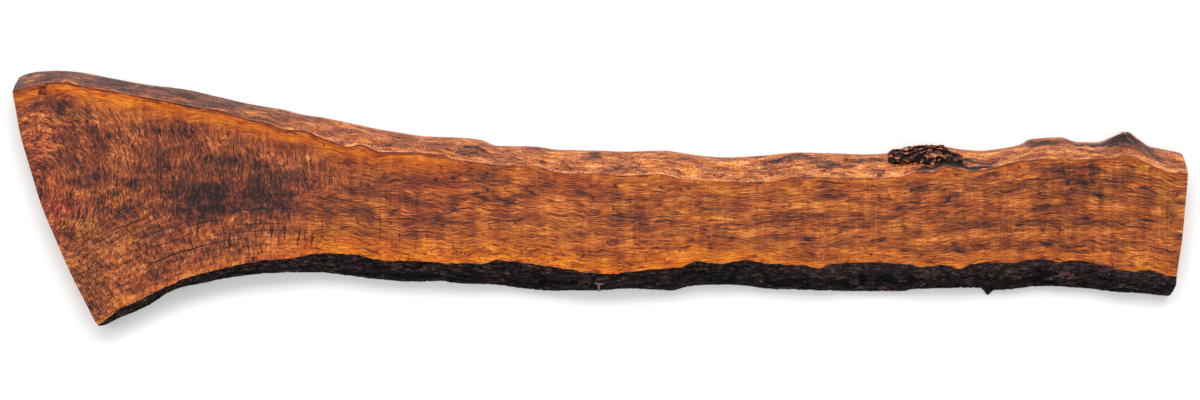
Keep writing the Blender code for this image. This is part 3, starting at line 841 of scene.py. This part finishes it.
def ringed_grain(g, ringed):
    """Ring lines, and short lines and blocks across them."""
    cross, depth, _ = g.split(ringed)
    ring_lines = g.times(g.line(g.times(depth, 1 / 15.0), 0.11),
                         g.step(g.noise(ringed, (60, 9), 2, shift=31), -0.1, 0.0))
    cross_lines = g.times(g.line(g.times(cross, 1 / 9.5), 0.15),
                          g.step(g.noise(ringed, (11, 30), 2, shift=33), -0.04, 0.08))
    return g.add((ring_lines, -0.38), (cross_lines, -0.34), (g.noise(ringed, (10, 13), 2, shift=35), 0.7))


def face_material():
    g = Graph("oiled_walnut_face")
    flow, s, _, _ = g.read("flow")
    _, to_bare, to_bark, shade = g.read("near")
    _, curl, gold, rings = g.read("figure")
    curl_way, _, _, warmth = g.read("curl")
    ring_way, _, depth, to_left = g.read("ring")
    place = g.place()
    calm = g.math("SUBTRACT", 1.0, g.math("MAXIMUM", curl, rings))

    wander = g.wander(place, (52, 46), 2, 3)
    ripple = g.wander(place, (15, 13), 2, 5)
    grain = g.bend(g.bend(flow, wander, 0.0, 20.0), ripple, 0.0, 1.6)
    straight, streaks, fibres = straight_grain(g, grain)
    curls = g.bend(g.bend(curl_way, wander, 20.0, 26.0), ripple, 5.0, 6.0)
    curly, dashes, crinkles = curly_grain(g, curls)
    ringed = g.bend(g.bend(ring_way, wander, 10.0, 10.0), ripple, 1.6, 1.6)
    end_lines = g.times(g.line(g.add((to_left, 1 / 7.0), (g.split(wander)[0], 1.2)), 0.2),
                        g.times(g.step(to_left, 70.0, 40.0), g.step(depth, 90.0, 40.0)))
    hatched = g.add(ringed_grain(g, ringed), (end_lines, -0.36), (crinkles, 1.4))

    saw = g.times(g.noise(place, (4.6, 70), 2, shift=41),
                  g.step(g.noise(place, (150, 60), 2, shift=42), -0.1, 0.15))
    bands = g.noise(place, (16, 240), 2, shift=45)
    bent_place = g.bend(place, ripple, 14.0, 9.0)
    blotches = g.noise(bent_place, (64, 30), 4, 0.6, shift=43)
    specks = g.noise(place, (4.6, 3.6), 2, 0.6, shift=47)
    pits = g.step(g.noise(place, (8, 5), 2, shift=48), 0.25, 0.3)
    cracked = g.times(g.step(gold, 0.2, 0.6), g.step(g.cells(bent_place, (23, 12)), 0.08, 0.01),
                      g.step(to_bark, 70.0, 40.0), g.step(s, 240.0, 40.0, 0.25, 1.0),
                      g.step(g.noise(place, (26, 15), 2, shift=50), -0.07, 0.05))
    at_bare = g.times(gold, g.step(to_bare, 100.0, 60.0))
    along_edge = g.bend(g.join(s, to_bare), ripple, 4.0, 3.0)
    edge_streaks = g.times(g.noise(along_edge, (60, 4.0), 3, 0.6, shift=49), at_bare)
    under_arris = g.times(g.step(g.add(to_bare, (edge_streaks, 14.0)), 10.0, 3.0), gold,
                          g.step(s, -240.0, -420.0))
    smooth = g.add(1.0, (gold, -0.3), (at_bare, -0.3))

    texture = g.add((g.noise(grain, (150, 26), 3, shift=11), 0.6), (straight, calm), (curly, curl),
                    (hatched, rings), (saw, 0.3), (bands, g.step(s, 930.0, 1080.0, 0.2, 0.35)),
                    (blotches, 0.75), (specks, 0.3), (pits, -0.2))
    value = g.add(0.59, (shade, g.add(1.0, (dashes, 1.6))), (texture, smooth), (edge_streaks, 0.6),
                  (under_arris, -0.22), (cracked, -0.34), (g.step(to_bare, 5.0, 2.0), -0.14))
    value = g.math("SUBTRACT", value, g.marks(g.bend(place, ripple, 5.0, 5.0), MARKS))
    value = g.math("SUBTRACT", value, g.marks(g.join(s, g.split(ringed)[1]), RING_MARKS))

    colour = g.mix(g.times(gold, 0.9), g.ramp(value, BROWNS), g.ramp(value, GOLDS))
    redder = g.add(warmth, (g.noise(place, (90, 40), 2, shift=53), 0.9))
    hue = g.add(0.497, (calm, 0.0012), (gold, 0.002), (redder, -0.018))
    saturation = g.add(0.965, (calm, 0.03), (gold, 0.01))
    colour = g.node("ShaderNodeHueSaturation", hue, saturation, 1.0, 1.0, colour).outputs[0]
    height = g.add((streaks, 0.3), (fibres, 0.35), (saw, 0.3))
    g.set(Base_Color=colour, Roughness=0.45, Specular_IOR_Level=0.2, Normal=g.bump(height, 0.0006))
    return g.material


RIM = [(0.0, (24, 13, 13)), (0.2, (70, 35, 28)), (0.4, (118, 57, 36)), (0.6, (158, 82, 45)),
       (0.8, (198, 114, 60)), (1.0, (234, 162, 92))]
RIM_PURPLE = [(0.0, (18, 10, 12)), (0.3, (54, 31, 31)), (0.6, (94, 51, 42)), (0.85, (138, 76, 50)),
              (1.0, (186, 106, 52))]
RIM_STAIN = [(0.0, (18, 11, 12)), (0.5, (70, 42, 39)), (1.0, (134, 88, 74))]
# The pale pink of the painted highlight along the top of the bare edge.
RIM_HIGHLIGHT = (210, 144, 108)


def bare_material():
    g = Graph("bare_edge_walnut")
    _, s, _, w = g.read("flow")
    _, shade, grey, left = g.read("rim")
    way = g.join(s, g.times(w, RIM_ARC))
    way = g.bend(way, g.wander(way, (70, 26), 2, 51), 20.0, 16.0)
    way = g.bend(way, g.wander(way, (16, 8), 2, 52), 8.0, 4.0)
    broad = g.step(g.noise(way, (80, 24), 3, shift=53), -0.16, 0.16, -0.5, 0.5)
    streaks = g.noise(way, (56, 11), 4, 0.6, shift=55)
    fibres = g.noise(way, (30, 3.0), 4, 0.7, shift=57)
    grit = g.noise(g.place(), (3.6, 2.4, 2.4), 2, 0.6, shift=56, flat=False)
    lines = g.times(g.line(g.times(g.noise(way, (80, 18), 2, shift=58), 5.0), 0.06),
                    g.step(g.noise(way, (44, 14), 2, shift=60), -0.04, 0.06))
    pits = g.step(g.noise(way, (11, 4), 2, shift=61), 0.24, 0.29)
    # A painted highlight: a thin pale line along the top of the bare edge, where it meets the top face.
    wear_and_highlight = g.step(g.add(w, (streaks, 0.1)), 0.91, 0.97)
    value = g.add(0.63, (shade, 1.5), (broad, 0.2), (streaks, 0.95), (fibres, 1.35), (grit, 1.3),
                  (lines, -0.66), (pits, -0.35), (wear_and_highlight, 0.08))
    colour = g.mix(left, g.ramp(value, RIM), g.ramp(g.add(value, -0.05), RIM_PURPLE))
    glow = g.step(g.add(g.noise(way, (50, 13), 3, shift=62), (grey, -0.3), (left, -0.05)), 0.06, 0.12)
    colour = g.mix(g.times(glow, 0.5), colour, g.ramp(value, GOLDS))
    stain = g.step(g.add(g.noise(way, (50, 18), 4, 0.6, shift=59), (grey, 0.4)), 0.12, 0.17)
    colour = g.mix(g.times(stain, 0.72), colour, g.ramp(value, RIM_STAIN))
    colour = g.mix(g.times(wear_and_highlight, 0.12), colour, linear(*RIM_HIGHLIGHT))
    height = g.add((streaks, 0.6), (fibres, 0.4), (lines, -0.4))
    g.set(Base_Color=colour, Roughness=0.46, Specular_IOR_Level=0.25, Normal=g.bump(height, 0.0018))
    return g.material


PITH = (-45.0, -38.0, 0.0)      # its y and z, below the slab


def end_material():
    g = Graph("sawn_end_walnut")
    place = g.place()
    _, y, z = g.split(place)
    radius = g.length(g.vector("SUBTRACT", g.join(y, z), PITH))
    radius = g.add(radius, (g.noise(place, (60, 60, 60), 2, flat=False), 14.0))
    rings = g.noise(g.join(radius, 0.0), (3.2, 1), 2, shift=61)
    saw = g.noise(place, (40, 90, 1.6), 2, shift=63, flat=False)
    blotch = g.noise(place, (40, 40, 30), 3, shift=65, flat=False)
    value = g.add(0.46, (rings, 0.5), (saw, 0.3), (blotch, 0.5))
    height = g.add((rings, 0.3), (saw, 0.7))
    g.set(Base_Color=g.ramp(value, BROWNS), Roughness=0.6, Normal=g.bump(height, 0.0008))
    return g.material


BARK = [(0.0, (1, 1, 1)), (0.35, (9, 6, 6)), (0.6, (27, 19, 18)), (0.85, (72, 52, 48)),
        (1.0, (146, 114, 102))]
BARK_CRUMBS = (86, 68, 64)
BARK_PINK = [(0.0, (5, 2, 3)), (0.5, (46, 25, 27)), (1.0, (150, 96, 92))]
BARK_SAWN = [(0.0, (10, 7, 8)), (0.5, (44, 33, 35)), (1.0, (100, 78, 74))]
BARK_FLECKS = [(0.0, (140, 116, 112)), (0.6, (176, 144, 132)), (1.0, (206, 164, 104))]
BARK_SPLINTER = (124, 92, 80)


def bark_material():
    g = Graph("dark_bark")
    _, _, arc, banded = g.read("flow")
    _, plates, cracks, loose = g.read("relief")
    place = g.place()
    rough = g.noise(place, (9, 5, 5), 4, 0.7, flat=False)
    scaly = g.step(g.noise(place, (20, 6, 6), 3, 0.6, shift=72, flat=False), -0.14, 0.16, -0.5, 0.5)
    tint = g.noise(place, (46, 20, 20), 4, 0.6, shift=71, flat=False)
    # Darker down in the furrows and cracks and lighter on the plates, by their depth: painted shade in the
    # bark's relief.
    value = g.add(0.23, (plates, 0.17), (cracks, 0.12), (rough, 2.0), (scaly, 0.2), (tint, 0.7),
                  (g.step(arc, RIM_ARC * 0.4, RIM_ARC * 0.9), 0.12))
    crumbs = g.step(g.noise(place, (22.0, 5.0, 5.0), 4, 0.62, shift=76, flat=False), 0.02, 0.16)
    crumbs = g.times(crumbs, g.step(plates, -1.5, 1.0), g.step(tint, -0.12, 0.2, 0.25, 0.7))
    colour = g.mix(crumbs, g.ramp(value, BARK), linear(*BARK_CRUMBS))
    pink = g.step(g.noise(place, (40, 18, 18), 3, shift=73, flat=False), 0.05, 0.14)
    colour = g.mix(g.times(pink, 0.7), colour, g.ramp(value, BARK_PINK))
    sawn = g.times(g.step(arc, RIM_ARC * 0.88, RIM_ARC),
                   g.add(g.step(scaly, 0.0, 0.3, 0.1, 0.5), (banded, 0.4)))
    colour = g.mix(sawn, colour, g.ramp(g.add(0.5, (rough, 2.0), (scaly, 0.2)), BARK_SAWN))
    flecks = g.step(g.noise(place, (10.0, 4.0, 4.0), 2, 0.6, shift=75, flat=False), 0.23, 0.26)
    colour = g.mix(g.times(flecks, 0.9), colour, g.ramp(g.add(0.5, (tint, 3.0)), BARK_FLECKS))
    colour = g.mix(g.step(loose, 0.6, 2.2), colour, linear(*BARK_SPLINTER))
    g.set(Base_Color=colour, Roughness=0.75, Specular_IOR_Level=0.05, Normal=g.bump(rough, 0.003))
    return g.material


# The scrap's colours, from the painted shade of its furrows to the painted highlight on its plates.
SCRAP = [(0.0, (4, 2, 2)), (0.35, (22, 10, 8)), (0.6, (76, 37, 26)), (0.8, (138, 74, 45)),
         (1.0, (206, 132, 88))]
SCRAP_GREY = [(0.0, (5, 3, 4)), (0.5, (42, 32, 36)), (1.0, (112, 92, 96))]


def scrap_material():
    g = Graph("red_bark")
    plates = g.read("relief")[1]
    place = g.place()
    rough = g.noise(place, (14, 5, 5), 4, 0.65, flat=False)
    tint = g.noise(place, (26, 12, 12), 2, shift=81, flat=False)
    # Darker in the furrows and lighter on the plates, by their height: painted shade and painted highlight.
    value = g.add(0.4, (plates, 0.22), (rough, 3.0))
    colour = g.mix(g.step(tint, 0.08, 0.2), g.ramp(value, SCRAP), g.ramp(value, SCRAP_GREY))
    g.set(Base_Color=colour, Roughness=0.55, Specular_IOR_Level=0.15, Normal=g.bump(rough, 0.0015))
    return g.material


def floor_material():
    g = Graph("pale_floor")
    cloud = g.noise(g.place(), (900, 900, 900), 2, flat=False)
    g.set(Base_Color=g.ramp(g.add(0.5, cloud), [(0.0, (244, 244, 243)), (1.0, (250, 250, 249))]),
          Roughness=0.9)
    return g.material


# The studio, in metres.
FLOOR_SIZE = 24.0
FLOOR_DROP = 0.0004             # keeps the underside clear of the floor
WORLD_STRENGTH = 0.68
AIM = (0.0, 0.0, 0.0)
LIGHTS = [("key", (0.0, 2.8, 3.8), (5.0, 1.8), 180), ("fill", (0.0, -4.0, 2.4), (5.0, 1.6), 75)]
CAMERA_HEIGHT = 5.0             # above the top face
SENSOR_WIDTH = 36.0             # millimetres
MM_PER_PIXEL = 2.075            # on the top face
IMAGE_WIDTH = 1200
IMAGE_MIDDLE = (0.0, -3.7)      # in millimetres: where the camera looks, before MIDDLE is taken off


def add_floor():
    bpy.ops.mesh.primitive_plane_add(size=FLOOR_SIZE, location=(0, 0, -FLOOR_DROP))
    floor = bpy.context.object
    floor.name = "floor"
    floor.data.materials.append(floor_material())


def add_light(name, place, size, power):
    data = bpy.data.lights.new(name, "AREA")
    data.shape = "RECTANGLE"
    data.size, data.size_y = size
    data.energy = power
    light = bpy.data.objects.new(name, data)
    bpy.context.scene.collection.objects.link(light)
    light.location = place
    x, y, z = np.subtract(AIM, place)
    light.rotation_euler = (math.atan2(math.hypot(x, y), -z), 0, math.atan2(-x, y))


def add_camera():
    data = bpy.data.cameras.new("camera")
    data.sensor_fit = "HORIZONTAL"
    data.sensor_width = SENSOR_WIDTH
    data.lens = SENSOR_WIDTH * CAMERA_HEIGHT / (MM_PER_PIXEL * MM * IMAGE_WIDTH)
    camera = bpy.data.objects.new("camera", data)
    bpy.context.scene.collection.objects.link(camera)
    camera.location = ((IMAGE_MIDDLE[0] - MIDDLE[0]) * MM, (IMAGE_MIDDLE[1] - MIDDLE[1]) * MM,
                       THICKNESS * MM + CAMERA_HEIGHT)
    bpy.context.scene.camera = camera


def add_world():
    world = bpy.data.worlds.new("studio")
    world.use_nodes = True
    background = world.node_tree.nodes["Background"]
    background.inputs["Color"].default_value = (1, 1, 1, 1)
    background.inputs["Strength"].default_value = WORLD_STRENGTH
    bpy.context.scene.world = world


bpy.context.scene.view_settings.view_transform = "Standard"
add_camera()
add_floor()
add_world()
for light in LIGHTS:
    add_light(*light)
build_slab([face_material(), bare_material(), end_material()])
build_bark(bark_material())
build_scrap(scrap_material())
